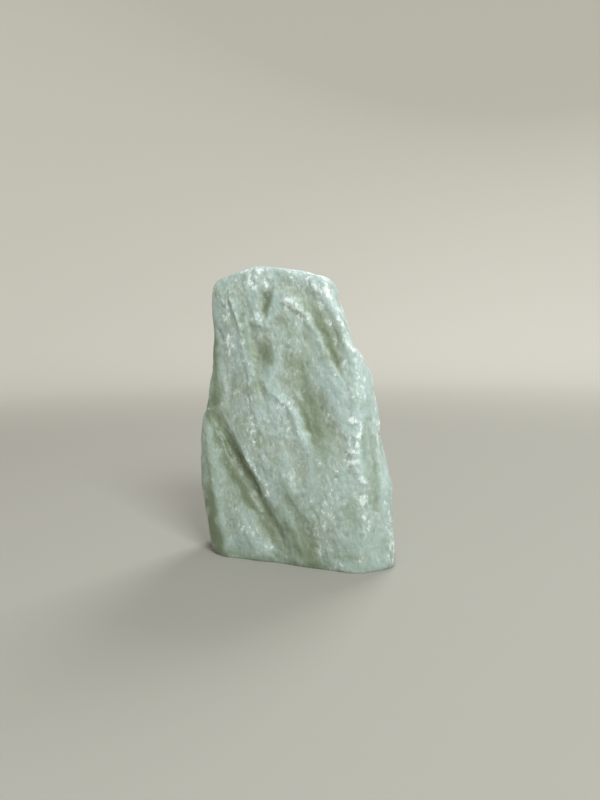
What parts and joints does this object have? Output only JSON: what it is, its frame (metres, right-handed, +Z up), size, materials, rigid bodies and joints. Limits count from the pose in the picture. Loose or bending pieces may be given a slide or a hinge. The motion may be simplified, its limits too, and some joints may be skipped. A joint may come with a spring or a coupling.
{
  "type": "raw soapstone",
  "caption": "Upright broken piece of pale green raw soapstone with a furrowed front, an overhung lower lobe and a flat sawn base.",
  "frame": {"origin": "middle of the bounding box, in the plane of the flat sawn base", "axes": "+Z up, along the stone's height; +Y towards the back, so the furrowed front faces -Y; +X to the right seen from the front"},
  "size_m": [0.0728, 0.0466, 0.106],
  "materials": {
    "soapstone": "rough broken, waxy and slightly wet"
  },
  "bodies": {
    "root": {"stone": "soapstone"}
  },
  "joints": []
}
